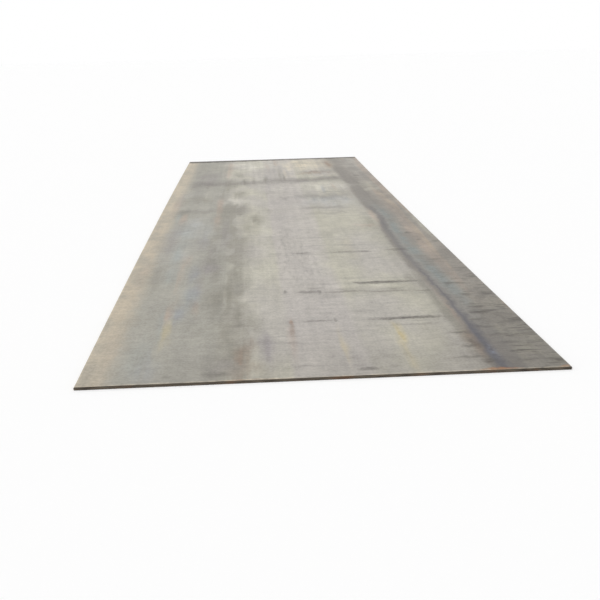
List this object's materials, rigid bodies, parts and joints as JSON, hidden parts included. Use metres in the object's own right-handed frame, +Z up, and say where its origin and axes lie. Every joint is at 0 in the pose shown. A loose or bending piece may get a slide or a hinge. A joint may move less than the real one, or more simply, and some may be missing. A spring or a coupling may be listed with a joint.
{
  "type": "steel plate",
  "caption": "Flat hot-rolled steel plate cut to length from coil, with rounded mill edges along its sides and sheared ends.",
  "frame": {"origin": "under the middle of the plate's box, on the face that it lies on", "axes": "+X across the plate, +Y along it in the rolling direction, +Z up out of the upper face"},
  "size_m": [1.51, 6, 0.01],
  "materials": {
    "mill_scale": "hot-rolled mill scale, grey with blue and tan heat tints and light rust, satin"
  },
  "bodies": {
    "root": {"steel_plate": "mill_scale"}
  },
  "joints": []
}
